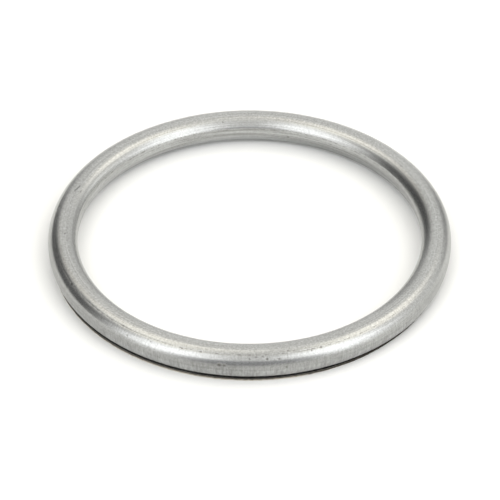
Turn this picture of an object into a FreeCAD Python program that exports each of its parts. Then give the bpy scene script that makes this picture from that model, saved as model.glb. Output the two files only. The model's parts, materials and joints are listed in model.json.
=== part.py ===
"""Round exhaust gasket: one strip of sheet steel folded into a hollow ring.

The section of the strip starts at the lip, a flat edge under the ring. It runs inwards along the
bottom, turns up round the foot bend, climbs the inner wall and goes over two shoulders with a
narrow flat land between them. It comes down the outer wall, which curls back in and is cut off
above the lip. The gap that is left there is the seam, an open slot all the way round the outside.

Millimetres. The ring rests on z = 0 with its axis on +Z. As modelled, the section is 5.15 wide and
5.6 high, and the ring is 70.3 across.
"""

import FreeCAD, Part
import math
import os

import Sketcher

# Driving dimensions: alias, value, meaning. Bend radii are those of the face that shows.
DIMENSIONS = [
    ("inner_diameter", 60.0, "bore of the ring, across the inner wall"),
    ("sheet_thickness", 0.45, "thickness of the steel sheet"),
    ("foot_radius", 3.2, "bend between the bottom and the inner wall"),
    ("inner_wall_length", 0.3, "straight height of the inner wall"),
    ("inner_shoulder_radius", 2.1, "bend between the inner wall and the top land"),
    ("top_land_width", 0.65, "flat on top of the ring"),
    ("outer_shoulder_radius", 2.4, "bend between the top land and the outer wall"),
    ("outer_wall_length", 0.25, "straight height of the outer wall, above the curl"),
    ("curl_radius", 3.0, "bend on which the outer wall curls back in"),
    ("seam_gap", 0.72, "open height between the lip and the cut edge of the outer wall"),
    ("lip_setback", 0.8, "distance of the lip's cut edge inside the outer wall"),
    ("edge_break", 0.06, "bevel that takes the sharpness off the two cut edges"),
]

NODE = "gasket_ring"
BENDS = {
    "foot_bend": "foot_radius",
    "inner_shoulder": "inner_shoulder_radius",
    "outer_shoulder": "outer_shoulder_radius",
    "curl": "curl_radius",
}
START, END, CENTRE = 1, 2, 3
ORIGIN = (-1, 1)
X_AXIS = -1
QUARTER_TURN = math.pi / 2
HALF_TURN = math.pi
FULL_TURN = 2 * math.pi
NEAR = 1e-4


def add_dimensions(doc):
    """A sheet with one named cell for each driving dimension."""
    sheet = doc.addObject("Spreadsheet::Sheet", "Dimensions")
    for row, (alias, value, meaning) in enumerate(DIMENSIONS, start=1):
        sheet.set(f"A{row}", alias)
        sheet.set(f"B{row}", str(value))
        sheet.set(f"C{row}", meaning)
        sheet.setAlias(f"B{row}", alias)
    doc.recompute()
    return sheet


def origin_plane(body, role):
    return next(plane for plane in body.Origin.OriginFeatures if plane.Role == role)


def add_line(sketch, start, end):
    first = FreeCAD.Vector(start[0], start[1], 0)
    last = FreeCAD.Vector(end[0], end[1], 0)
    return sketch.addGeometry(Part.LineSegment(first, last), False)


def add_bend(sketch, centre, radius, first, last):
    """An arc that runs anticlockwise from the angle first to the angle last."""
    middle = FreeCAD.Vector(centre[0], centre[1], 0)
    circle = Part.Circle(middle, FreeCAD.Vector(0, 0, 1), radius)
    return sketch.addGeometry(Part.ArcOfCircle(circle, first, last), False)


def draw_face(sketch, sheet, inset):
    """One face of the strip as lines and arcs, moved into the sheet by the inset."""
    foot = sheet.foot_radius
    inner = sheet.inner_shoulder_radius
    outer = sheet.outer_shoulder_radius
    curl = sheet.curl_radius
    bore = sheet.inner_diameter / 2
    inner_top = foot + sheet.inner_wall_length
    height = inner_top + inner
    land_end = bore + inner + sheet.top_land_width
    rim = land_end + outer
    outer_top = height - outer
    outer_foot = outer_top - sheet.outer_wall_length
    cut_level = sheet.sheet_thickness + sheet.seam_gap
    curl_end = FULL_TURN - math.asin((outer_foot - cut_level) / curl)
    return {
        "bottom": add_line(sketch, (rim - sheet.lip_setback, inset), (bore + foot, inset)),
        "foot_bend": add_bend(
            sketch, (bore + foot, foot), foot - inset, HALF_TURN, HALF_TURN + QUARTER_TURN
        ),
        "inner_wall": add_line(sketch, (bore + inset, foot), (bore + inset, inner_top)),
        "inner_shoulder": add_bend(
            sketch, (bore + inner, inner_top), inner - inset, QUARTER_TURN, HALF_TURN
        ),
        "top_land": add_line(
            sketch, (bore + inner, height - inset), (land_end, height - inset)
        ),
        "outer_shoulder": add_bend(
            sketch, (land_end, outer_top), outer - inset, 0.0, QUARTER_TURN
        ),
        "outer_wall": add_line(sketch, (rim - inset, outer_top), (rim - inset, outer_foot)),
        "curl": add_bend(sketch, (rim - curl, outer_foot), curl - inset, curl_end, FULL_TURN),
    }


def draw_cut_edges(sketch, outside, inside):
    """The two sheared ends of the strip: at the lip and at the foot of the outer wall."""
    shapes = sketch.Geometry
    lip = (shapes[inside["bottom"]].StartPoint, shapes[outside["bottom"]].StartPoint)
    wall = (shapes[outside["curl"]].StartPoint, shapes[inside["curl"]].StartPoint)
    return add_line(sketch, *lip), add_line(sketch, *wall)


def join_face(sketch, face):
    """Each bend runs smoothly into the straights at both of its ends."""
    joints = [
        ("bottom", END, "foot_bend", END),
        ("foot_bend", START, "inner_wall", START),
        ("inner_wall", END, "inner_shoulder", END),
        ("inner_shoulder", START, "top_land", START),
        ("top_land", END, "outer_shoulder", END),
        ("outer_shoulder", START, "outer_wall", START),
        ("outer_wall", END, "curl", END),
    ]
    for one, one_end, other, other_end in joints:
        sketch.addConstraint(
            Sketcher.Constraint("Tangent", face[one], one_end, face[other], other_end)
        )


def join_sheet(sketch, outside, inside, lip_cut, wall_cut):
    """Both faces bend round the same centres and close square at the two cut edges."""
    same_points = [
        (inside["bottom"], START, lip_cut, START),
        (lip_cut, END, outside["bottom"], START),
        (outside["curl"], START, wall_cut, START),
        (wall_cut, END, inside["curl"], START),
    ]
    same_points += [(outside[bend], CENTRE, inside[bend], CENTRE) for bend in BENDS]
    for one, one_end, other, other_end in same_points:
        sketch.addConstraint(Sketcher.Constraint("Coincident", one, one_end, other, other_end))
    for line in (outside["bottom"], inside["bottom"], outside["top_land"], inside["top_land"]):
        sketch.addConstraint(Sketcher.Constraint("Horizontal", line))
    for line in (outside["inner_wall"], inside["inner_wall"], outside["outer_wall"], lip_cut):
        sketch.addConstraint(Sketcher.Constraint("Vertical", line))
    square_cut = Sketcher.Constraint("PointOnObject", outside["curl"], CENTRE, wall_cut)
    rests_on_zero = Sketcher.Constraint("PointOnObject", outside["bottom"], START, X_AXIS)
    sketch.addConstraint([square_cut, rests_on_zero])


def drive(sketch, sheet, name, constraint, formula):
    """Adds a sized constraint that takes its value from the sheet of dimensions."""
    index = sketch.addConstraint(constraint)
    sketch.renameConstraint(index, name)
    sketch.setExpression(f"Constraints.{name}", f"{sheet.Name}.{formula}")


def size_strip(sketch, sheet, outside, lip_cut, wall_cut):
    """Ties every size of the section to the sheet of dimensions."""
    wall = outside["inner_wall"]
    bore = Sketcher.Constraint("DistanceX", *ORIGIN, wall, START, sheet.inner_diameter / 2)
    drive(sketch, sheet, "bore_radius", bore, "inner_diameter / 2")
    lengths = [
        ("length_of_inner_wall", wall, "inner_wall_length"),
        ("width_of_top_land", outside["top_land"], "top_land_width"),
        ("length_of_outer_wall", outside["outer_wall"], "outer_wall_length"),
        ("sheet_at_lip", lip_cut, "sheet_thickness"),
        ("sheet_at_wall_cut", wall_cut, "sheet_thickness"),
    ]
    for name, line, alias in lengths:
        length = Sketcher.Constraint("Distance", line, getattr(sheet, alias))
        drive(sketch, sheet, name, length, alias)
    for bend, alias in BENDS.items():
        radius = Sketcher.Constraint("Radius", outside[bend], getattr(sheet, alias))
        drive(sketch, sheet, f"radius_of_{bend}", radius, alias)
    lip = (outside["bottom"], START)
    rim = (outside["outer_wall"], START)
    setback = Sketcher.Constraint("DistanceX", *lip, *rim, sheet.lip_setback)
    drive(sketch, sheet, "setback_of_lip", setback, "lip_setback")
    lip_top = (lip_cut, START)
    wall_end = (outside["curl"], START)
    gap = Sketcher.Constraint("DistanceY", *lip_top, *wall_end, sheet.seam_gap)
    drive(sketch, sheet, "gap_of_seam", gap, "seam_gap")


def draw_strip(body, sheet):
    """The folded strip's section, in the plane through the ring's axis."""
    sketch = body.newObject("Sketcher::SketchObject", "StripSection")
    sketch.AttachmentSupport = [(origin_plane(body, "XZ_Plane"), "")]
    sketch.MapMode = "FlatFace"
    outside = draw_face(sketch, sheet, 0.0)
    inside = draw_face(sketch, sheet, sheet.sheet_thickness)
    lip_cut, wall_cut = draw_cut_edges(sketch, outside, inside)
    join_face(sketch, outside)
    join_face(sketch, inside)
    join_sheet(sketch, outside, inside, lip_cut, wall_cut)
    size_strip(sketch, sheet, outside, lip_cut, wall_cut)
    return sketch, [lip_cut, wall_cut]


def cut_edge_rims(ring, sketch, cuts):
    """Names of the circles that the corners of the two cut edges sweep round the ring."""
    lines = [sketch.Geometry[cut] for cut in cuts]
    corners = [point for line in lines for point in (line.StartPoint, line.EndPoint)]
    names = []
    for number, edge in enumerate(ring.Shape.Edges, start=1):
        if not edge.isClosed():
            continue
        radius, level = edge.Curve.Radius, edge.Curve.Center.z
        if any(math.hypot(radius - c.x, level - c.y) < NEAR for c in corners):
            names.append(f"Edge{number}")
    return names


def build_gasket_ring(doc, sheet):
    """The ring: the strip's section turned about the axis, with its cut edges bevelled."""
    body = doc.addObject("PartDesign::Body", "GasketRing")
    body.Label = NODE
    sketch, cuts = draw_strip(body, sheet)
    doc.recompute()
    if not sketch.FullyConstrained:
        raise RuntimeError(f"{sketch.Label} is not fully sized")
    ring = body.newObject("PartDesign::Revolution", "FoldedStrip")
    ring.Profile = sketch
    ring.ReferenceAxis = (sketch, ["V_Axis"])
    ring.Angle = 360.0
    doc.recompute()
    bevels = body.newObject("PartDesign::Chamfer", "CutEdgeBevels")
    bevels.Base = (ring, cut_edge_rims(ring, sketch, cuts))
    bevels.setExpression("Size", f"{sheet.Name}.edge_break")
    doc.recompute()
    return body


def check(doc, body):
    """Stops the build if any step failed, so that a broken shape is never written."""
    for item in doc.Objects:
        if {"Invalid", "Error"} & set(item.State):
            raise RuntimeError(f"{item.Label} did not build: {item.State}")
    if body.Shape.isNull() or not body.Shape.isValid():
        raise RuntimeError(f"{body.Label} has no valid shape")
    if len(body.Shape.Solids) != 1:
        raise RuntimeError(f"{body.Label} should be one solid")


def main():
    doc = FreeCAD.newDocument("ExhaustGasket")
    sheet = add_dimensions(doc)
    body = build_gasket_ring(doc, sheet)
    check(doc, body)
    os.makedirs("parts", exist_ok=True)
    body.Shape.exportStep(f"parts/{NODE}.step")


main()
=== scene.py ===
"""Looks of a round exhaust gasket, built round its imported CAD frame.

The gasket is one strip of sheet steel folded into a hollow ring. This script sweeps the same
section round the axis far more finely than the CAD mesh, gives it the marks that folding and
handling leave, and lights it as a studio would.
"""

import json
import math
import random

import bpy
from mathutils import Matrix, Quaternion, Vector


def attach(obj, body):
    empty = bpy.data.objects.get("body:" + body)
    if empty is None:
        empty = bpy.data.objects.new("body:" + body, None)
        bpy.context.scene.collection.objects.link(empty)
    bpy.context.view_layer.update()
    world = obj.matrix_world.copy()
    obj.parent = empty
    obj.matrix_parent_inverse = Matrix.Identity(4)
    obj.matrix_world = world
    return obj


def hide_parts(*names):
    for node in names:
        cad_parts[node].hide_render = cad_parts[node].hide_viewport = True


bl_info = {
    "name": "Folded exhaust gasket",
    "version": (1, 0, 0),
    "blender": (4, 5, 0),
    "location": "View3D > Sidebar > Gasket",
    "description": "Makes a hollow exhaust ring folded from sheet steel, and a stage for it",
    "category": "Object",
}

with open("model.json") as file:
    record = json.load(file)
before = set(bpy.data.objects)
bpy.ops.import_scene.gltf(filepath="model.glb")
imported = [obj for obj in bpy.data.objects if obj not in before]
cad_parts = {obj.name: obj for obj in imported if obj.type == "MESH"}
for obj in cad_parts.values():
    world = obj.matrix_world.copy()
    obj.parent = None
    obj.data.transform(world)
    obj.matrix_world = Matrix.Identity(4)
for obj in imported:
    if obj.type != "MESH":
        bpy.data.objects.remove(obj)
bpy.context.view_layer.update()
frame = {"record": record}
MOUNTS = {mount["name"]: mount for mount in frame["record"]["mounts"]}

MM = 0.001
NODE = "gasket_ring"
SENSOR_MM = 36.0
FLOOR_HALF_M = 9


class GasketStrip(bpy.types.PropertyGroup):
    """Sizes of the strip's section, as in the CAD, and of the marks on it, in millimetres."""

    bore: bpy.props.FloatProperty(
        name="Bore",
        description="Diameter across the inner wall",
        default=2 * MOUNTS["bore"]["dims"]["r_mm"],
    )
    sheet: bpy.props.FloatProperty(
        name="Sheet", description="Thickness of the steel sheet", default=0.45
    )
    foot: bpy.props.FloatProperty(
        name="Foot bend", description="Bend between the bottom and the inner wall", default=3.2
    )
    inner_wall: bpy.props.FloatProperty(
        name="Inner wall", description="Straight height of the inner wall", default=0.3
    )
    inner_shoulder: bpy.props.FloatProperty(
        name="Inner shoulder", description="Bend between inner wall and top", default=2.1
    )
    top_land: bpy.props.FloatProperty(
        name="Top land", description="Flat on top of the ring", default=0.65
    )
    outer_shoulder: bpy.props.FloatProperty(
        name="Outer shoulder", description="Bend between top and outer wall", default=2.4
    )
    outer_wall: bpy.props.FloatProperty(
        name="Outer wall", description="Straight height of the outer wall", default=0.25
    )
    curl: bpy.props.FloatProperty(
        name="Curl", description="Bend on which the outer wall curls back in", default=3.0
    )
    seam: bpy.props.FloatProperty(
        name="Seam", description="Open height between the lip and the outer wall", default=0.72
    )
    lip_setback: bpy.props.FloatProperty(
        name="Lip setback", description="The lip's cut edge inside the outer wall", default=0.8
    )
    edge_break: bpy.props.FloatProperty(
        name="Edge break", description="Bevel on the two cut edges", default=0.06
    )
    segments: bpy.props.IntProperty(
        name="Segments", description="Facets round the ring", default=960
    )
    waviness: bpy.props.FloatProperty(
        name="Waviness", description="Height of the slow waves left by folding", default=0.012
    )
    burr: bpy.props.FloatProperty(
        name="Burr", description="Reach of the ragged burr on the lip", default=0.09
    )
    tuck: bpy.props.FloatProperty(
        name="Tuck", description="How far the lip sits further in on one side", default=0.38
    )
    closing: bpy.props.FloatProperty(
        name="Closing", description="How far the outer edge comes down on that side", default=0.38
    )
    seed: bpy.props.IntProperty(
        name="Seed", description="Fixes where the random marks fall", default=7
    )


class GasketFinish(bpy.types.PropertyGroup):
    """Colours and surface of the steel."""

    steel: bpy.props.StringProperty(
        name="Steel", description="Colour of the bare sheet, sRGB hex", default="C8C9C8"
    )
    smudge: bpy.props.StringProperty(
        name="Smudge", description="Colour of the dull film in its grain, sRGB hex",
        default="999997",
    )
    # The colour painted as shade into the tool lines and the knocks.
    recess_shade_colour: bpy.props.StringProperty(
        name="Recess_shade", description="Colour in the tool lines, sRGB hex", default="5E5B57"
    )
    cut_edge: bpy.props.StringProperty(
        name="Cut edge", description="Colour of the lip's raw cut edge, sRGB hex", default="C2BCB0"
    )
    # The colour painted as shade along the lip's top by the seam, over the lip where it tucks in
    # and inside the fold; the dark torn burr on the lip takes it too.
    shade_and_burr_colour: bpy.props.StringProperty(
        name="Shade_and_burr", description="Colour of the soot in and by the seam, sRGB hex", default="292521"
    )
    roughness: bpy.props.FloatProperty(
        name="Roughness", description="Roughness of the rolled sheet", default=0.23,
        subtype="FACTOR",
    )
    grain: bpy.props.FloatProperty(
        name="Grain", description="Height of the fine grain and scores, mm", default=0.024
    )


class GasketStage(bpy.types.PropertyGroup):
    """Floor and lights."""

    floor: bpy.props.StringProperty(
        name="Floor", description="Colour of the floor, sRGB hex", default="F2F2F1"
    )
    sky: bpy.props.FloatProperty(
        name="Sky", description="Brightness of the light outside the tent", default=0.9
    )
    tent: bpy.props.FloatProperty(
        name="Tent", description="Brightness of the tent against that of white", default=1.2
    )
    tent_radius: bpy.props.FloatProperty(
        name="Tent radius", description="Radius of the tent", default=1.2, unit="LENGTH"
    )


def linear(hex_colour):
    """An sRGB hex colour as linear red, green, blue and alpha."""
    channels = [int(hex_colour[i : i + 2], 16) / 255 for i in (0, 2, 4)]
    return [c / 12.92 if c <= 0.04045 else ((c + 0.055) / 1.055) ** 2.4 for c in channels] + [1.0]


def add(tree, kind, inputs=None, **settings):
    """Adds a node with its settings, and sets its inputs or links them to sockets or nodes."""
    node = tree.nodes.new(kind)
    for name, value in settings.items():
        setattr(node, name, value)
    for key, value in (inputs or {}).items():
        if isinstance(value, bpy.types.Node):
            value = value.outputs[0]
        if isinstance(value, bpy.types.NodeSocket):
            tree.links.new(value, node.inputs[key])
        else:
            node.inputs[key].default_value = value
    return node


def graph(tree, value, whole, places):
    """Reads a height off a graph: its places run from 0 to the whole, straight between them."""
    share = add(tree, "ShaderNodeMath", {0: value, 1: whole}, operation="DIVIDE")
    ramp = add(tree, "ShaderNodeValToRGB", {"Fac": share})
    stops = ramp.color_ramp.elements
    while len(stops) < len(places):
        stops.new(0.5)
    for stop, (place, height) in zip(stops, places):
        stop.position, stop.color = place / whole, (height, height, height, 1.0)
    return ramp


class Strip:
    """The face of the strip that shows, unrolled: every place on it is a distance from the lip."""

    def __init__(self, sizes):
        s = sizes
        bore = s.bore / 2
        inner_top = s.foot + s.inner_wall
        height = inner_top + s.inner_shoulder
        land_start = bore + s.inner_shoulder
        land_end = land_start + s.top_land
        rim = land_end + s.outer_shoulder
        outer_top = height - s.outer_shoulder
        outer_foot = outer_top - s.outer_wall
        drop = outer_foot - s.sheet - s.seam
        curl_turn = math.degrees(math.asin(drop / s.curl))
        self.lip = rim - s.lip_setback
        self.middle = (bore + rim) / 2
        self.parts = [
            ("line", (self.lip, 0.0), (bore + s.foot, 0.0), (0.0, -1.0)),
            ("bend", (bore + s.foot, s.foot), s.foot, 270.0, 180.0),
            ("line", (bore, s.foot), (bore, inner_top), (-1.0, 0.0)),
            ("bend", (land_start, inner_top), s.inner_shoulder, 180.0, 90.0),
            ("line", (land_start, height), (land_end, height), (0.0, 1.0)),
            ("bend", (land_end, outer_top), s.outer_shoulder, 90.0, 0.0),
            ("line", (rim, outer_top), (rim, outer_foot), (1.0, 0.0)),
            ("bend", (rim - s.curl, outer_foot), s.curl, 0.0, -curl_turn),
        ]
        self.lengths = [self.length(part) for part in self.parts]
        self.ends = [sum(self.lengths[: i + 1]) for i in range(len(self.parts))]

    @staticmethod
    def length(part):
        if part[0] == "line":
            return math.dist(part[1], part[2])
        return part[2] * math.radians(abs(part[4] - part[3]))

    def at(self, across, inset=0.0):
        """Radius, height and outward normal at a distance from the lip, inset into the sheet."""
        start = 0.0
        for part, length, end in zip(self.parts, self.lengths, self.ends):
            share = min(max((across - start) / length, 0.0), 1.0)
            if across <= end + 1e-9 or part is self.parts[-1]:
                break
            start = end
        if part[0] == "line":
            _, first, last, normal = part
            r = first[0] + (last[0] - first[0]) * share - inset * normal[0]
            z = first[1] + (last[1] - first[1]) * share - inset * normal[1]
            return r, z, normal
        _, centre, radius, first, last = part
        turn = math.radians(first + (last - first) * share)
        normal = (math.cos(turn), math.sin(turn))
        reach = radius - inset
        return centre[0] + reach * normal[0], centre[1] + reach * normal[1], normal


# The place of the inner shoulder among the strip's parts.
INNER_SHOULDER = 3
# How far apart the rows of points lie on each of the strip's parts, in mm.
STEPS_MM = (0.6, 0.42, 0.15, 0.19, 0.33, 0.17, 0.13, 0.24)
# Lines that the folding tools leave round the ring: distance from the lip, width and depth, in mm.
# A line as fine as this gets rows of its own.
TOOL_LINES = (
    (11.64, 0.09, 0.030), (13.30, 0.14, 0.013), (6.98, 0.10, 0.034), (6.36, 0.09, 0.026),
    (5.92, 0.08, 0.018),
)
FINE_LINE_MM = 0.12
# The crease over the inner wall: its distance from the lip, and how far it takes to fade, in mm.
CREASE_MM, CREASE_FADE_MM = 6.98, 1.0


def crease(strip, across):
    """How far the inner wall stands out by the crease above it: it stays upright up to there."""
    wall_end, bend = strip.ends[INNER_SHOULDER - 1], strip.parts[INNER_SHOULDER][2]
    if not wall_end < across < CREASE_MM + CREASE_FADE_MM:
        return 0.0
    proud = bend * (1 - math.cos((min(across, CREASE_MM) - wall_end) / bend))
    past = max(0.0, (across - CREASE_MM) / CREASE_FADE_MM)
    return proud * (1 + math.cos(math.pi * past)) / 2


def section_rows(strip, sizes):
    """The closed section of the sheet, as places across the strip and depths into the sheet."""
    sheet, bevel, total = sizes.sheet, sizes.edge_break, strip.ends[-1]
    places = set()
    start = 0.0
    for length, end, step in zip(strip.lengths, strip.ends, STEPS_MM):
        count = max(1, round(length / step))
        places.update(round(start + length * i / count, 4) for i in range(count + 1))
        start = end
    for line, width, _ in TOOL_LINES:
        if width < FINE_LINE_MM:
            places = {p for p in places if abs(p - line) > 2.2 * width}
            places.update(round(line + width * k, 4) for k in (-1.6, -0.8, 0.0, 0.8, 1.6))
    outside = [bevel] + [p for p in sorted(places) if 2 * bevel < p < total - 2 * bevel]
    rows = [(p, 0.0) for p in outside + [total - bevel]]
    rows += [(total, depth) for depth in (bevel, sheet * 0.5, sheet - bevel)]
    inside = []
    start = 0.0
    for part, length, end in zip(strip.parts, strip.lengths, strip.ends):
        count = 3 if part[0] == "bend" else 1
        inside += [start + length * i / count for i in range(count)]
        start = end
    inside = [total - bevel] + [p for p in sorted(inside, reverse=True) if p > 2 * bevel] + [bevel]
    rows += [(p, sheet) for p in inside]
    rows += [(0.0, depth) for depth in (sheet - bevel, sheet * 0.66, sheet * 0.33, bevel)]
    return rows


def section_object(strip, sizes):
    """A closed outline of the section. Its points carry what the nodes need to place them.

    Each carries its spot, the ways out of the sheet and along it, and its distance from the lip.
    It also carries its share in a tool line (groove), in the moves of the lip and of the outer
    edge (curl), in the waves (free) and in the springing, and whether it is inside the fold.
    """
    rows = section_rows(strip, sizes)
    total = strip.ends[-1]
    carried = {name: [] for name in ("spot", "lift", "along", "across", "groove", "lip", "curl",
                                     "free", "sprung", "inside")}
    for across, depth in rows:
        r, z, (out, up) = strip.at(across, depth)
        if depth == 0.0:
            proud = crease(strip, across)
            r, z = r + out * proud, z + up * proud
        carried["spot"] += [r * MM, 0.0, z * MM]
        carried["lift"] += [out, 0.0, up]
        carried["along"] += [up, 0.0, -out]
        carried["across"].append(across)
        near = (d * math.exp(-(((across - a) / w) ** 2)) for a, w, d in TOOL_LINES)
        carried["groove"].append(sum(near) if depth == 0.0 else 0.0)
        carried["lip"].append(max(0.0, 1 - across / 2.2))
        carried["curl"].append(max(0.0, 1 - (total - across) / 0.6))
        carried["free"].append(min(max((across - strip.ends[0]) / 1.5, 0.0), 1.0))
        carried["sprung"].append(max(0.0, 1 - (total - across) / 1.5) ** 2)
        carried["inside"].append(1.0 if depth > 0.8 * sizes.sheet else 0.0)
    mesh = bpy.data.meshes.new("section")
    corners = [carried["spot"][3 * i : 3 * i + 3] for i in range(len(rows))]
    mesh.from_pydata(corners, [(i, (i + 1) % len(rows)) for i in range(len(rows))], [])
    for name, values in carried.items():
        vector = name in ("spot", "lift", "along")
        kind, field = ("FLOAT_VECTOR", "vector") if vector else ("FLOAT", "value")
        mesh.attributes.new(name, kind, "POINT").data.foreach_set(field, values)
    section = bpy.data.objects.new("section", mesh)
    bpy.context.scene.collection.objects.link(section)
    return section


def marks_object(strip, sizes):
    """Small dents, as loose points on the unrolled strip with a reach and a depth, all in mm."""
    chance = random.Random(sizes.seed)
    top = strip.ends[INNER_SHOULDER] - strip.lengths[INNER_SHOULDER]
    marks = [(*knock, 1.0) for knock in KNOCKS]
    for _ in range(DENTS):
        turn = chance.uniform(-180, 180)
        across = chance.uniform(top, strip.ends[-1] - 0.4)
        reach = chance.uniform(*DENT_REACH_MM)
        marks.append((turn, across, reach, reach * chance.uniform(*DENT_STEEPNESS), 0.0))
    mesh = bpy.data.meshes.new("marks")
    places = []
    for turn, across, *_ in marks:
        angle = math.radians(turn)
        places.append((strip.middle * math.cos(angle), strip.middle * math.sin(angle), across))
    mesh.from_pydata(places, [], [])
    for i, name in ((2, "reach"), (3, "depth"), (4, "grimy")):
        values = [mark[i] for mark in marks]
        mesh.attributes.new(name, "FLOAT", "POINT").data.foreach_set("value", values)
    marked = bpy.data.objects.new("marks", mesh)
    bpy.context.scene.collection.objects.link(marked)
    return marked


# Dents that fall at random, with no painted shade in them: how many, their reach in mm, and their
# depth as a share of it.
DENTS, DENT_REACH_MM, DENT_STEEPNESS = 110, (0.25, 0.6), (0.01, 0.03)
# Knocks that show, with painted shade in them: degrees round the ring, then distance from the lip,
# reach and depth, in mm.
KNOCKS = [
    (-85.2, 12.40, 0.36, 0.040), (-79.9, 14.18, 0.36, 0.055), (-69.5, 11.72, 0.34, 0.040),
    (-98.4, 13.56, 0.54, 0.070), (-97.0, 13.60, 0.44, 0.055), (-88.3, 12.02, 0.28, 0.028),
    (-81.9, 12.56, 0.28, 0.026), (-86.4, 11.90, 0.26, 0.024), (-90.1, 12.30, 0.26, 0.026),
    (-79.0, 11.30, 0.26, 0.020), (-77.4, 11.40, 0.26, 0.020), (-103.9, 11.68, 0.30, 0.030),
    (-109.5, 11.72, 0.28, 0.026), (-153.6, 11.74, 0.34, 0.036), (-126.5, 12.76, 0.26, 0.020),
    (-129.1, 11.60, 0.28, 0.020), (76.6, 5.80, 0.30, 0.026), (98.9, 8.48, 0.28, 0.020),
    (-176.8, 9.80, 0.28, 0.016), (-119.0, 12.20, 0.24, 0.020), (-72.4, 11.90, 0.24, 0.018),
]


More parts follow.
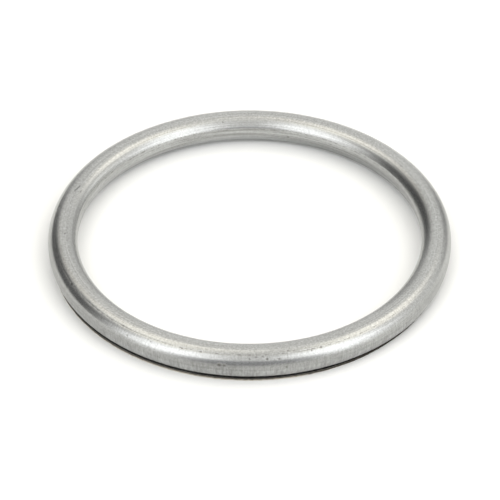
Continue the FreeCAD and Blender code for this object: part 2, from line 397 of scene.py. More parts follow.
def strip_tree():
    """Sweeps the section round the ring, then moves each point by waves, grooves and dents."""
    tree = bpy.data.node_groups.new("Folded strip", "GeometryNodeTree")
    tree.interface.new_socket("Geometry", in_out="OUTPUT", socket_type="NodeSocketGeometry")
    for name, kind in (
        ("Section", "Object"), ("Marks", "Object"), ("Segments", "Int"), ("Radius", "Float"),
        ("Waves", "Float"), ("Burr", "Float"), ("Tuck", "Float"), ("Closing", "Float"),
        ("Sheet Steel", "Material"),
    ):
        tree.interface.new_socket(name, in_out="INPUT", socket_type="NodeSocket" + kind)
    given = add(tree, "NodeGroupInput").outputs

    section = add(tree, "GeometryNodeObjectInfo", {"Object": given["Section"]})
    profile = add(tree, "GeometryNodeMeshToCurve", {"Mesh": section.outputs["Geometry"]})
    circle = add(tree, "GeometryNodeCurvePrimitiveCircle",
                 {"Resolution": given["Segments"], "Radius": given["Radius"]})
    share = add(tree, "GeometryNodeSplineParameter")
    turning = add(tree, "ShaderNodeMath", {0: share, 1: math.tau}, operation="MULTIPLY")
    path = add(tree, "GeometryNodeStoreNamedAttribute",
               {"Geometry": circle, "Name": "turn", "Value": turning})
    swept = add(tree, "GeometryNodeCurveToMesh", {"Curve": path, "Profile Curve": profile})

    held = {}
    for name, kind in (
        ("turn", "FLOAT"), ("across", "FLOAT"), ("groove", "FLOAT"), ("lip", "FLOAT"),
        ("curl", "FLOAT"), ("free", "FLOAT"), ("sprung", "FLOAT"), ("spot", "FLOAT_VECTOR"),
        ("lift", "FLOAT_VECTOR"), ("along", "FLOAT_VECTOR"),
    ):
        held[name] = add(tree, "GeometryNodeInputNamedAttribute", {"Name": name}, data_type=kind)
    turned = {}
    for name in ("spot", "lift", "along"):
        turned[name] = add(tree, "ShaderNodeVectorRotate",
                           {"Vector": held[name], "Angle": held["turn"]}, rotation_type="Z_AXIS")
    wide = add(tree, "ShaderNodeMath", {0: given["Radius"], 1: 1 / MM}, operation="MULTIPLY")
    flat = add(tree, "ShaderNodeCombineXYZ", {"X": wide, "Z": held["across"]})
    strip_mm = add(tree, "ShaderNodeVectorRotate", {"Vector": flat, "Angle": held["turn"]},
                   rotation_type="Z_AXIS")

    degrees = add(tree, "ShaderNodeMath", {0: held["turn"]}, operation="DEGREES")
    round_it = {name: graph(tree, degrees, 360.0, places) for name, places in ROUND.items()}

    # Waves from folding: long ones of about 9 mm and short ones of about 2 mm.
    slow = add(tree, "ShaderNodeTexNoise", {"Vector": strip_mm, "Scale": 0.11, "Detail": 1.0})
    quick = add(tree, "ShaderNodeTexNoise", {"Vector": strip_mm, "Scale": 0.5, "Detail": 2.0})
    slow = add(tree, "ShaderNodeMath", {0: slow, 1: 0.5}, operation="SUBTRACT")
    quick = add(tree, "ShaderNodeMath", {0: quick, 1: 0.5}, operation="SUBTRACT")
    waves = add(tree, "ShaderNodeMath", {0: slow, 1: 3.0, 2: quick}, operation="MULTIPLY_ADD")
    # They only go inwards from the true section, so the ring never outgrows its sizes.
    waves = add(tree, "ShaderNodeMath", {0: waves, 1: 1.0}, operation="SUBTRACT")
    waves = add(tree, "ShaderNodeMath", {0: waves, 1: given["Waves"]}, operation="MULTIPLY")
    waves = add(tree, "ShaderNodeMath", {0: waves, 1: held["free"]}, operation="MULTIPLY")

    # The tool lines come and go round the ring.
    patchy = add(tree, "ShaderNodeTexNoise", {"Vector": strip_mm, "Scale": 0.9, "Detail": 2.0})
    patchy = add(tree, "ShaderNodeMapRange",
                 {"Value": patchy, "From Min": 0.38, "From Max": 0.62, "To Min": 0.12})
    patchy = add(tree, "ShaderNodeMath", {0: patchy, 1: round_it["scored"]}, operation="MAXIMUM")
    patchy = add(tree, "ShaderNodeMath", {0: patchy, 1: round_it["lined"]}, operation="MULTIPLY")
    groove = add(tree, "ShaderNodeMath", {0: held["groove"], 1: patchy}, operation="MULTIPLY")

    # Dents: each point takes the nearest mark, and sinks by a smooth bowl inside its reach.
    marks = add(tree, "GeometryNodeObjectInfo", {"Object": given["Marks"]}).outputs["Geometry"]
    nearest = add(tree, "GeometryNodeSampleNearest",
                  {"Geometry": marks, "Sample Position": strip_mm})
    found = {}
    for name, kind in (("position", "FLOAT_VECTOR"), ("reach", "FLOAT"), ("depth", "FLOAT"),
                       ("grimy", "FLOAT")):
        value = add(tree, "GeometryNodeInputNamedAttribute", {"Name": name}, data_type=kind)
        found[name] = add(tree, "GeometryNodeSampleIndex",
                          {"Geometry": marks, "Value": value, "Index": nearest}, data_type=kind)
    away = add(tree, "ShaderNodeVectorMath", {0: strip_mm, 1: found["position"]},
               operation="DISTANCE").outputs["Value"]
    bowl = add(tree, "ShaderNodeMapRange",
               {"Value": away, "From Min": 0.0, "From Max": found["reach"], "To Min": 1.0,
                "To Max": 0.0}, interpolation_type="SMOOTHSTEP")
    dent = add(tree, "ShaderNodeMath", {0: bowl, 1: found["depth"], 2: groove},
               operation="MULTIPLY_ADD")
    # A knock's bowl gets painted shade; a random dent gets none.
    pit = add(tree, "ShaderNodeMath", {0: bowl, 1: found["grimy"]}, operation="MULTIPLY")
    raised = add(tree, "ShaderNodeMath", {0: waves, 1: dent}, operation="SUBTRACT")
    # Where the outer edge comes down, it also springs out, by a share of how far it came.
    closing = add(tree, "ShaderNodeMath", {0: round_it["closed"], 1: given["Closing"]},
                  operation="MULTIPLY")
    sprung = add(tree, "ShaderNodeMath", {0: closing, 1: SPRING_SHARE}, operation="MULTIPLY")
    raised = add(tree, "ShaderNodeMath", {0: sprung, 1: held["sprung"], 2: raised},
                 operation="MULTIPLY_ADD")
    raised = add(tree, "ShaderNodeMath", {0: raised, 1: MM}, operation="MULTIPLY")
    moved = add(tree, "ShaderNodeVectorMath", {0: turned["lift"], "Scale": raised},
                operation="SCALE")

    # The outer cut edge wanders over 12 mm or so, so the seam's width does too. The lip has a
    # ragged burr, which is longer where it is torn.
    wander = add(tree, "ShaderNodeTexNoise", {"Vector": strip_mm, "Scale": 0.08, "Detail": 1.0})
    wander = add(tree, "ShaderNodeMapRange",
                 {"Value": wander, "To Min": -WANDER_MM, "To Max": WANDER_MM})
    wander = add(tree, "ShaderNodeMath", {0: wander, 1: closing}, operation="ADD")
    wander = add(tree, "ShaderNodeMath", {0: wander, 1: MM}, operation="MULTIPLY")
    wander = add(tree, "ShaderNodeMath", {0: wander, 1: held["curl"]}, operation="MULTIPLY")
    ragged = add(tree, "ShaderNodeTexNoise", {"Vector": strip_mm, "Scale": 1.3, "Detail": 4.0})
    ragged = add(tree, "ShaderNodeMapRange", {"Value": ragged, "From Min": 0.45,
                 "From Max": 0.75, "To Min": 0.0, "To Max": given["Burr"]})
    longer = add(tree, "ShaderNodeMath", {0: round_it["torn"], 1: 1.0, 2: 1.0},
                 operation="MULTIPLY_ADD")
    ragged = add(tree, "ShaderNodeMath", {0: ragged, 1: longer}, operation="MULTIPLY")
    torn = add(tree, "ShaderNodeMath", {0: round_it["torn"], 1: held["lip"]},
               operation="MULTIPLY")
    tuck = add(tree, "ShaderNodeMath", {0: round_it["tucked"], 1: given["Tuck"]},
               operation="MULTIPLY")
    ragged = add(tree, "ShaderNodeMath", {0: ragged, 1: tuck}, operation="SUBTRACT")
    ragged = add(tree, "ShaderNodeMath", {0: ragged, 1: held["lip"]}, operation="MULTIPLY")
    ragged = add(tree, "ShaderNodeMath", {0: ragged, 1: -MM, 2: wander}, operation="MULTIPLY_ADD")
    slid = add(tree, "ShaderNodeVectorMath", {0: turned["along"], "Scale": ragged},
               operation="SCALE")

    place = add(tree, "ShaderNodeVectorMath", {0: turned["spot"], 1: moved}, operation="ADD")
    place = add(tree, "ShaderNodeVectorMath", {0: place, 1: slid}, operation="ADD")
    shaped = add(tree, "GeometryNodeSetPosition", {"Geometry": swept, "Position": place})
    marked = add(tree, "GeometryNodeStoreNamedAttribute",
                 {"Geometry": shaped, "Name": "strip_mm", "Value": strip_mm},
                 data_type="FLOAT_VECTOR")
    # The material reads the painted shade in the tool lines and the knocks, the torn stretch and
    # the painted shade by the seam.
    for name, value in (("worn", groove), ("pit", pit), ("torn", torn),
                        ("sooty", round_it["sooty"])):
        marked = add(tree, "GeometryNodeStoreNamedAttribute",
                     {"Geometry": marked, "Name": name, "Value": value})
    smooth = add(tree, "GeometryNodeSetShadeSmooth", {"Geometry": marked})
    real = add(tree, "GeometryNodeRealizeInstances", {"Geometry": smooth})
    steel = add(tree, "GeometryNodeSetMaterial",
                {"Geometry": real, "Material": given["Sheet Steel"]})
    add(tree, "NodeGroupOutput", {"Geometry": steel})
    return tree


# How far the outer edge wanders, and how far it springs out as a share of how far it comes down.
WANDER_MM, SPRING_SHARE = 0.25, 0.35
# What changes round the ring, by degrees round it: how far the lip tucks in and the outer edge
# comes down, how much painted shade the lip and the inside of the fold get by the seam, how torn
# the lip is, where the tool lines are cut through without a gap, and how deep they are.
# The lip was trimmed a little off centre, so it shows on one side and tucks in on the other.
ROUND = {
    "tucked": ((0, 0.13), (200, 0.0), (283, 0.0), (300, 0.30), (318, 0.75), (332, 0.85),
               (342, 0.3), (360, 0.13)),
    "closed": ((0, 0.8), (40, 0.0), (228, 0.0), (242, 0.15), (262, 0.38), (283, 0.45),
               (291, 0.55), (300, 0.62), (318, 0.7), (335, 0.95), (360, 0.8)),
    "sooty": ((0, 1.0), (40, 0.0), (283, 0.0), (290, 0.25), (297, 0.45), (308, 0.6), (318, 1.0),
              (360, 1.0)),
    "torn": ((284, 0.0), (287, 0.8), (291, 0.8), (293, 0.1), (297, 0.1), (300, 0.9),
             (304, 0.9), (308, 0.0)),
    "scored": ((225, 0.0), (230, 0.7), (256, 0.7), (262, 0.0)),
    "lined": ((302, 1.0), (318, 0.4), (346, 0.4), (358, 1.0)),
}


def sheet_steel(finish, strip):
    """Cold-rolled stainless sheet as folded, not polished.

    It is bright and neutral, and its rolled grain blurs what it mirrors by a millimetre or two.
    Fine scores from the tools run across the outer wall and round the inner wall. Both are finer
    on the real sheet, and drawn as coarse as they need to show.
    """
    steel = bpy.data.materials.new("Rolled stainless sheet")
    steel.use_nodes = True
    tree = steel.node_tree
    shader = tree.nodes["Principled BSDF"]
    strip_mm = add(tree, "ShaderNodeAttribute", attribute_name="strip_mm").outputs["Vector"]
    across = add(tree, "ShaderNodeAttribute", attribute_name="across").outputs["Fac"]
    object_mm = add(tree, "ShaderNodeVectorMath",
                    {0: add(tree, "ShaderNodeTexCoord").outputs["Object"], "Scale": 1 / MM},
                    operation="SCALE")

    # Grain of the rolled sheet, about 0.3 mm. Fine strokes across the strip, 0.4 mm apart and a
    # few millimetres long. Fine lines round the ring, left by the folding rolls, 0.2 mm apart.
    grain = add(tree, "ShaderNodeTexNoise",
                {"Vector": object_mm, "Scale": 3.0, "Detail": 4.0, "Roughness": 0.6})
    squeezed = add(tree, "ShaderNodeVectorMath", {0: strip_mm, 1: (3.6, 3.6, 0.55)},
                   operation="MULTIPLY")
    strokes = add(tree, "ShaderNodeTexNoise",
                  {"Vector": squeezed, "Scale": 1.0, "Detail": 3.0, "Roughness": 0.6})
    stretched = add(tree, "ShaderNodeVectorMath", {0: strip_mm, 1: (0.05, 0.05, 4.5)},
                    operation="MULTIPLY")
    rounds = add(tree, "ShaderNodeTexNoise",
                 {"Vector": stretched, "Scale": 1.0, "Detail": 2.0, "Roughness": 0.55})
    total = strip.ends[-1]
    weights = {name: graph(tree, across, total, places) for name, places in BANDS.items()}
    height = EVEN_HEIGHT
    for name, pattern in (("grain", grain), ("strokes", strokes), ("rounds", rounds)):
        pattern = add(tree, "ShaderNodeMath", {0: pattern, 1: 0.5}, operation="SUBTRACT")
        height = add(tree, "ShaderNodeMath", {0: pattern, 1: weights[name], 2: height},
                     operation="MULTIPLY_ADD")
    bump = add(tree, "ShaderNodeBump",
               {"Height": height, "Strength": 1.0, "Distance": finish.grain * MM})
    tree.links.new(bump.outputs["Normal"], shader.inputs["Normal"])

    # The same marks darken and roughen the steel a little.
    tone = add(tree, "ShaderNodeMapRange",
               {"Value": height, "From Min": LOW, "From Max": HIGH, "To Min": 0.0,
                "To Max": 1.0})
    colour = add(tree, "ShaderNodeMix",
                 {0: tone, 6: linear(finish.smudge), 7: linear(finish.steel)}, data_type="RGBA")

    # Specks of the rolled sheet, about 0.2 mm, and painted shade on the lower parts of the inner
    # and outer walls and under the ring, which damps what they mirror of the floor.
    specks = add(tree, "ShaderNodeTexNoise", {"Vector": object_mm, "Scale": 4.5, "Detail": 1.0})
    specks = add(tree, "ShaderNodeMapRange", {"Value": specks, "From Min": 0.3, "From Max": 0.7,
                                              "To Min": 0.95, "To Max": 1.07})
    shade_and_tone = add(tree, "ShaderNodeMath", {0: weights["shade_and_tone"], 1: -SHADE_STRENGTH, 2: 1.0},
               operation="MULTIPLY_ADD")
    shade_and_tone = add(tree, "ShaderNodeMath", {0: shade_and_tone, 1: specks}, operation="MULTIPLY")
    # The painted patches, and then the real scratches, change the steel's tone where they lie.
    for (turn, place), (long, wide), strength in PAINTED_PATCHES + SCRATCHES:
        angle = math.radians(turn)
        middle = (strip.middle * math.cos(angle), strip.middle * math.sin(angle), place)
        away = add(tree, "ShaderNodeVectorMath", {0: strip_mm, 1: middle}, operation="SUBTRACT")
        away = add(tree, "ShaderNodeVectorMath", {0: away, 1: (1 / long, 1 / long, 1 / wide)},
                   operation="MULTIPLY")
        away = add(tree, "ShaderNodeVectorMath", {0: away}, operation="LENGTH").outputs["Value"]
        away = add(tree, "ShaderNodeMapRange", {"Value": away, "To Min": 1 - strength,
                                                "To Max": 1.0}, interpolation_type="SMOOTHSTEP")
        shade_and_tone = add(tree, "ShaderNodeMath", {0: shade_and_tone, 1: away.outputs[0]}, operation="MULTIPLY")
    shaded_colour = add(tree, "ShaderNodeVectorMath", {0: colour.outputs[2], "Scale": shade_and_tone},
                 operation="SCALE")

    # Painted shade sits in the lines that the folding tools left and in the knocks, in dots and
    # dashes.
    dots = add(tree, "ShaderNodeTexNoise", {"Vector": object_mm, "Scale": 1.7, "Detail": 3.0})
    dots = add(tree, "ShaderNodeMapRange",
               {"Value": dots, "From Min": 0.4, "From Max": 0.62, "To Min": 0.25, "To Max": 1.0})
    worn = add(tree, "ShaderNodeAttribute", attribute_name="worn").outputs["Fac"]
    worn = add(tree, "ShaderNodeMath", {0: worn, 1: dots}, operation="MULTIPLY")
    worn = add(tree, "ShaderNodeMapRange",
               {"Value": worn, "From Min": 0.003, "From Max": 0.022, "To Min": 0.0,
                "To Max": 0.6}).outputs["Result"]
    pit = add(tree, "ShaderNodeAttribute", attribute_name="pit").outputs["Fac"]
    pit = add(tree, "ShaderNodeMapRange",
              {"Value": pit, "From Min": 0.15, "From Max": 0.75, "To Max": 0.8}).outputs["Result"]
    worn = add(tree, "ShaderNodeMath", {0: worn, 1: pit}, operation="MAXIMUM")
    grimy = add(tree, "ShaderNodeMix", {0: worn, 6: shaded_colour, 7: linear(finish.recess_shade_colour)},
                data_type="RGBA")

    # The lip's cut edge is raw and duller than the rolled face.
    edge = add(tree, "ShaderNodeMapRange",
               {"Value": across, "From Min": 0.02, "From Max": 0.07, "To Min": 1.0,
                "To Max": 0.0}).outputs["Result"]
    cut = add(tree, "ShaderNodeMix", {0: edge, 6: grimy.outputs[2], 7: linear(finish.cut_edge)},
              data_type="RGBA")
    # Painted shade runs along its top, under the seam, and all over it on the side where it tucks
    # in. A painted contact shadow runs along its bottom, where it meets the floor.
    high = add(tree, "ShaderNodeSeparateXYZ", {0: object_mm}).outputs["Z"]
    low = add(tree, "ShaderNodeMapRange", {"Value": high, "From Min": 0.04, "From Max": 0.12,
                                           "To Min": 0.3, "To Max": 0.0})
    sooty = add(tree, "ShaderNodeAttribute", attribute_name="sooty").outputs["Fac"]
    high = add(tree, "ShaderNodeMath", {0: sooty, 1: SEAM_SHADE_REACH_MM, 2: high},
               operation="MULTIPLY_ADD")
    high = add(tree, "ShaderNodeMapRange", {"Value": high, "From Min": 0.21, "From Max": 0.31,
                                            "To Max": 0.95})
    low = add(tree, "ShaderNodeMath", {0: low.outputs[0], 1: high.outputs[0]},
              operation="MAXIMUM")
    low = add(tree, "ShaderNodeMath", {0: low, 1: edge}, operation="MULTIPLY")
    # The inside of the fold gets painted shade too, a little everywhere and more on that side,
    # where it shows through the seam.
    inside = add(tree, "ShaderNodeAttribute", attribute_name="inside").outputs["Fac"]
    deep = add(tree, "ShaderNodeMath", {0: sooty, 1: 1.5, 2: 0.12}, operation="MULTIPLY_ADD",
               use_clamp=True)
    deep = add(tree, "ShaderNodeMath", {0: deep, 1: inside}, operation="MULTIPLY")
    low = add(tree, "ShaderNodeMath", {0: low, 1: deep}, operation="MAXIMUM")
    torn = add(tree, "ShaderNodeAttribute", attribute_name="torn").outputs["Fac"]
    torn = add(tree, "ShaderNodeMath", {0: torn, 1: dots.outputs["Result"]}, operation="MULTIPLY")
    lip_shade_and_burr = add(tree, "ShaderNodeMath", {0: low, 1: torn}, operation="MAXIMUM", use_clamp=True)
    lip_shaded_colour = add(tree, "ShaderNodeMix", {0: lip_shade_and_burr, 6: cut.outputs[2], 7: linear(finish.shade_and_burr_colour)},
                data_type="RGBA")
    tree.links.new(lip_shaded_colour.outputs[2], shader.inputs["Base Color"])

    rough = add(tree, "ShaderNodeMapRange",
                {"Value": height, "From Min": LOW, "From Max": HIGH,
                 "To Min": finish.roughness + 0.01, "To Max": finish.roughness - 0.05})
    rough = add(tree, "ShaderNodeMath", {0: weights["dull"], 1: 0.09, 2: rough},
                operation="MULTIPLY_ADD")
    rough = add(tree, "ShaderNodeMath", {0: edge, 1: 0.25, 2: rough}, operation="MULTIPLY_ADD")
    tree.links.new(rough.outputs[0], shader.inputs["Roughness"])
    shader.inputs["Metallic"].default_value = 1.0
    # Rolled lines run round the ring, so what it mirrors is smeared across the strip.
    shader.inputs["Anisotropic"].default_value = 0.65
    shader.inputs["Anisotropic Rotation"].default_value = 0.25
    round_the_ring = add(tree, "ShaderNodeTangent", direction_type="RADIAL", axis="Z")
    tree.links.new(round_the_ring.outputs["Tangent"], shader.inputs["Tangent"])
    return steel


# The height of the sheet between its marks, and the heights at which it is dullest and brightest.
EVEN_HEIGHT, LOW, HIGH = 0.275, 0.08, 0.52
# How much the painted shade on the lower walls darkens the steel, and how far the painted shade
# along the lip's top creeps down.
SHADE_STRENGTH, SEAM_SHADE_REACH_MM = 0.36, 0.4
# How strong the grain, the strokes across, the lines round the ring, the dullness and the painted
# shade on the lower walls are, by distance from the lip in mm. The inner shoulder is dull, by the
# lines that run along it.
BANDS = {
    "grain": ((6.3, 0.55), (7.1, 0.32), (8.7, 0.32), (9.4, 0.6), (10.6, 0.6), (11.4, 0.5),
              (12.0, 0.42), (12.8, 0.42), (13.4, 0.55)),
    "strokes": ((0.0, 0.1), (8.5, 0.1), (10.5, 0.12), (13.0, 0.15), (14.0, 0.6), (14.8, 1.1)),
    "rounds": ((4.5, 1.2), (6.9, 1.2), (7.6, 0.7), (9.0, 0.35), (10.4, 0.4), (11.0, 0.2),
               (12.2, 0.3), (13.6, 0.3), (14.4, 0.2)),
    "dull": ((5.9, 0.3), (7.0, 0.5), (8.8, 0.5), (9.9, 0.3), (11.5, 0.15), (13.0, 0.0)),
    "shade_and_tone": ((0.0, 0.41), (5.6, 0.26), (6.6, 0.21), (7.6, 0.11), (9.5, 0.0), (12.5, 0.0),
             (13.1, 0.25), (13.36, 0.5), (13.6, 0.82), (13.9, 0.82), (14.1, 0.70), (14.3, 0.74),
             (14.44, 0.84), (14.6, 0.84), (14.75, 0.45), (15.1, 0.38), (15.6, 0.45), (16.3, 0.3)),
}
# Patches painted darker, as painted shade and painted reflections of darker things round the ring:
# degrees round the ring and mm from the lip, half length and half width in mm, and how dark. A
# patch painted lighter, as a painted highlight, is negative.
PAINTED_PATCHES = [
    ((16.0, 8.0), (16.0, 1.2), 0.24), ((33.0, 8.2), (4.0, 0.9), 0.12),
    ((10.0, 8.8), (20.0, 1.3), 0.28), ((-32.0, 9.0), (14.0, 1.3), 0.28),
    ((11.0, 12.2), (17.0, 1.7), 0.42), ((-99.0, 14.0), (10.0, 2.0), 0.16),
    ((52.0, 5.4), (28.0, 1.9), 0.30), ((-172.0, 12.8), (12.0, 1.2), 0.20),
    ((-147.0, 8.2), (22.0, 1.6), 0.26), ((150.0, 7.8), (11.0, 1.5), -0.22),
    ((-50.0, 13.7), (14.0, 1.0), -0.18),
]
# Scratches on the top at the back left, in the same terms.
SCRATCHES = [
    ((161.5, 10.08), (0.7, 0.20), 0.55), ((160.5, 9.92), (0.7, 0.20), 0.6),
    ((159.5, 9.76), (0.7, 0.20), 0.55), ((161.3, 9.05), (0.6, 0.17), 0.45),
    ((-176.5, 9.8), (0.4, 0.2), 0.35),
]


class GASKET_OT_folded_ring(bpy.types.Operator):
    """Make the ring: one strip of sheet steel, folded, with an open seam round the outside"""

    bl_idname = "gasket.folded_ring"
    bl_label = "Folded ring"

    def execute(self, context):
        sizes = context.scene.gasket_strip
        strip = Strip(sizes)
        section = section_object(strip, sizes)
        marks = marks_object(strip, sizes)
        steel = sheet_steel(context.scene.gasket_finish, strip)
        ring = bpy.data.objects.new("folded_ring", bpy.data.meshes.new("folded_ring"))
        context.scene.collection.objects.link(ring)
        sweep = ring.modifiers.new("Folded strip", "NODES")
        sweep.node_group = strip_tree()
        values = {
            "Section": section, "Marks": marks, "Segments": sizes.segments,
            "Radius": strip.middle * MM, "Waves": sizes.waviness, "Burr": sizes.burr,
            "Tuck": sizes.tuck, "Closing": sizes.closing, "Sheet Steel": steel,
        }
        for socket in sweep.node_group.interface.items_tree:
            if socket.in_out == "INPUT":
                sweep[socket.identifier] = values[socket.name]
        depsgraph = context.evaluated_depsgraph_get()
        made = bpy.data.meshes.new_from_object(ring.evaluated_get(depsgraph))
        if len(made.polygons) == 0:
            raise RuntimeError("the ring came out empty")
        ring.modifiers.clear()
        ring.data = made
        for helper in (section, marks):
            bpy.data.objects.remove(helper)
        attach(ring, "root")
        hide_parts(NODE)
        return {"FINISHED"}


# The camera that fits the photo, from the outlines of the ring: its place, its lens, the point it
# aims at, how far below that point the middle of the picture lies, and its roll in degrees.
CAMERA_MM = (0.0, -489.575, 399.617)
CAMERA_LENS = 259.9
AIM_MM = (0.068, 0.0, 2.8)
AIM_DROP_MM = 1.962
CAMERA_ROLL = -0.1035


def aim(obj, target, roll=0.0):
    """Points an object's -Z axis at a target."""
    way = (target - obj.location).normalized()
    turn = way.to_track_quat("-Z", "Y")
    obj.rotation_mode = "QUATERNION"
    obj.rotation_quaternion = turn @ Quaternion((0, 0, 1), math.radians(roll))


def around(azimuth, elevation, distance):
    """A place round the ring in metres: azimuth 0 is the camera's side, + is its right."""
    a, e = math.radians(azimuth), math.radians(elevation)
    return Vector((math.sin(a) * math.cos(e), -math.cos(a) * math.cos(e), math.sin(e))) * distance


def soft(distance, half, edge):
    """1 well inside a half width, 0 well outside it, smooth between."""
    share = min(max((half + edge / 2 - abs(distance)) / edge, 0.0), 1.0)
    return share * share * (3 - 2 * share)


def tent(name, radius, level):
    """A cloth light tent, bright where soft lamps stand behind it. The camera looks through."""
    corners, glows, faces = [], [], []
    across, up = 120, 30
    for row in range(up + 1):
        elevation = row * 90.0 / up
        for column in range(across):
            azimuth = column * 360.0 / across - 180.0
            corners.append(around(azimuth, elevation, radius))
            glow = Vector(linear(CLOTH_COLOUR)[:3]) * CLOTH_GLOW
            for place, half, height, half_height, side, rim, colour, bright in PANELS:
                turn = (azimuth - place + 180.0) % 360.0 - 180.0
                share = soft(turn, half, side) * soft(elevation - height, half_height, rim)
                glow = glow.lerp(Vector(linear(colour)[:3]) * bright, share)
            glows += [*(glow * level), 1.0]
    for row in range(up):
        for column in range(across):
            here, beside = row * across + column, row * across + (column + 1) % across
            faces.append((here, here + across, beside + across, beside))
    mesh = bpy.data.meshes.new(name)
    mesh.from_pydata(corners, [], faces)
    mesh.attributes.new("glow", "FLOAT_COLOR", "POINT").data.foreach_set("color", glows)
    # Woven white tent cloth, lit from behind: it glows softly and shows no lamp.
    cloth = bpy.data.materials.new("Lit tent cloth")
    cloth.use_nodes = True
    tree = cloth.node_tree
    tree.nodes.clear()
    glow = add(tree, "ShaderNodeAttribute", attribute_name="glow")
    light = add(tree, "ShaderNodeEmission", {"Color": glow.outputs["Color"], "Strength": 1.0})
    add(tree, "ShaderNodeOutputMaterial", {"Surface": light})
    mesh.materials.append(cloth)
    dome = bpy.data.objects.new(name, mesh)
    dome.visible_camera = False
    bpy.context.scene.collection.objects.link(dome)
    return dome


# The tent's cloth all round, and the brighter and darker patches on it, each over those before it.
# A patch has its azimuth and half width, its elevation and half height, and how soft its sides and
# its rims are, all in degrees, then its colour and brightness.
CLOTH_COLOUR, CLOTH_GLOW = "FFFFFC", 0.88
PANELS = [
    (0, 180, 90, 9, 1, 16, "FFFDF6", 0.98),
    (-95, 45, 67, 9, 50, 18, "FFFCF0", 1.33),
    (92, 45, 63, 11, 50, 20, "FFFCF0", 1.38),
    (-146, 36, 63, 9, 30, 20, "FFFBF2", 1.74),
    (-148, 16, 46, 8, 26, 16, "FFFBF2", 1.50),
    (125, 24, 56.5, 13, 40, 26, "FFFBF2", 1.92),
    (138, 18, 7, 13, 22, 12, "FFFFFC", 0.58),
    (-120, 40, 8, 35, 40, 32, "FFFFFF", 0.14),
    (-44, 21, 33, 30, 44, 34, "FDFEFF", 2.25),
    (50, 22, 33, 30, 50, 34, "FDFEFF", 2.25),
    (0, 15, 6, 22, 20, 24, "FBFCFF", 0.62),
]


# The grey card: half its width, its height and how far it stands in front of the ring's middle.
CARD_HALF_MM, CARD_HIGH_MM, CARD_AWAY_MM = 72, 40, 78


def flag():
    """A grey card close to the front of the ring, soft at its rim, seen only as a mirror image."""
    columns, rows = 40, 12
    places, covers, faces = [], [], []
    for row in range(rows + 1):
        for column in range(columns + 1):
            x = CARD_HALF_MM * (2 * column / columns - 1)
            z = CARD_HIGH_MM * row / rows
            places.append(Vector((x, -CARD_AWAY_MM, z)) * MM)
            covers.append(soft(x, 42, 56) * soft(z, 27, 18))
    for row in range(rows):
        for column in range(columns):
            here = row * (columns + 1) + column
            faces.append((here, here + 1, here + columns + 2, here + columns + 1))
    mesh = bpy.data.meshes.new("flag")
    mesh.from_pydata(places, [], faces)
    mesh.attributes.new("cover", "FLOAT", "POINT").data.foreach_set("value", covers)
    # Grey card that glows evenly, as a lit grey board would look, seen only in reflections: it puts
    # a soft grey band in what the outer wall mirrors.
    card = bpy.data.materials.new("Grey card")
    card.use_nodes = True
    tree = card.node_tree
    tree.nodes.clear()
    cover = add(tree, "ShaderNodeAttribute", attribute_name="cover").outputs["Fac"]
    light = add(tree, "ShaderNodeEmission", {"Color": linear("FBFCFF"), "Strength": 0.5})
    clear = add(tree, "ShaderNodeBsdfTransparent")
    mixed = add(tree, "ShaderNodeMixShader", {0: cover, 1: clear, 2: light})
    add(tree, "ShaderNodeOutputMaterial", {"Surface": mixed})
    mesh.materials.append(card)
    made = bpy.data.objects.new("flag", mesh)
    made.visible_camera = made.visible_diffuse = made.visible_shadow = False
    bpy.context.scene.collection.objects.link(made)


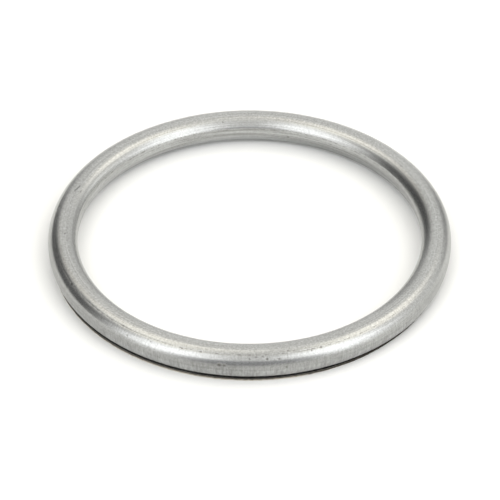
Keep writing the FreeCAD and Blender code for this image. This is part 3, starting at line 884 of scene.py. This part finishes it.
class GASKET_OT_stage(bpy.types.Operator):
    """Make the floor, the lights and the camera"""

    bl_idname = "gasket.stage"
    bl_label = "Stage and camera"

    def execute(self, context):
        scene = context.scene
        stage = scene.gasket_stage
        scene.view_settings.view_transform = "Standard"
        world = bpy.data.worlds.new("studio")
        world.use_nodes = True
        sky = world.node_tree.nodes["Background"]
        sky.inputs["Color"].default_value = linear("FFFFFF")
        sky.inputs["Strength"].default_value = stage.sky
        scene.world = world

        mesh = bpy.data.meshes.new("floor")
        far = FLOOR_HALF_M
        corners = [(-far, -far, 0), (far, -far, 0), (far, far, 0), (-far, far, 0)]
        mesh.from_pydata(corners, [], [(0, 1, 2, 3)])
        # Pressed laminate with a matt face: pale and even, and it mirrors next to nothing.
        laminate = bpy.data.materials.new("Matt white laminate")
        laminate.use_nodes = True
        shader = laminate.node_tree.nodes["Principled BSDF"]
        shader.inputs["Base Color"].default_value = linear(stage.floor)
        shader.inputs["Roughness"].default_value = 0.6
        mesh.materials.append(laminate)
        floor = bpy.data.objects.new("floor", mesh)
        scene.collection.objects.link(floor)

        tent("tent", stage.tent_radius, stage.tent)
        flag()

        lens = bpy.data.cameras.new("camera")
        lens.lens = CAMERA_LENS
        lens.sensor_width = SENSOR_MM
        lens.clip_start, lens.clip_end = 0.01, 50.0
        camera = bpy.data.objects.new("camera", lens)
        camera.location = Vector(CAMERA_MM) * MM
        way = (Vector((0, 0, AIM_MM[2])) * MM - camera.location).normalized()
        up = Vector((1, 0, 0)).cross(way)
        target = (Vector(AIM_MM) - up * AIM_DROP_MM) * MM
        aim(camera, target, CAMERA_ROLL)
        scene.collection.objects.link(camera)
        scene.camera = camera
        return {"FINISHED"}


class GASKET_PT_panel(bpy.types.Panel):
    """The gasket's operators and sizes, in the sidebar"""

    bl_label = "Folded exhaust gasket"
    bl_space_type = "VIEW_3D"
    bl_region_type = "UI"
    bl_category = "Gasket"

    def draw(self, context):
        for operator in OPERATORS:
            self.layout.operator(operator.bl_idname)
        for group in (context.scene.gasket_strip, context.scene.gasket_finish,
                      context.scene.gasket_stage):
            box = self.layout.box()
            for name in group.bl_rna.properties.keys():
                if name not in ("rna_type", "name"):
                    box.prop(group, name)


GROUPS = {
    "gasket_strip": GasketStrip, "gasket_finish": GasketFinish, "gasket_stage": GasketStage,
}
OPERATORS = (GASKET_OT_folded_ring, GASKET_OT_stage)


def register():
    for kind in (*GROUPS.values(), *OPERATORS, GASKET_PT_panel):
        bpy.utils.register_class(kind)
    for name, group in GROUPS.items():
        setattr(bpy.types.Scene, name, bpy.props.PointerProperty(type=group))


def unregister():
    for name in GROUPS:
        delattr(bpy.types.Scene, name)
    for kind in (GASKET_PT_panel, *OPERATORS, *GROUPS.values()):
        bpy.utils.unregister_class(kind)


def main():
    register()
    bpy.ops.gasket.folded_ring()
    bpy.ops.gasket.stage()


if __name__ == "__main__":
    main()
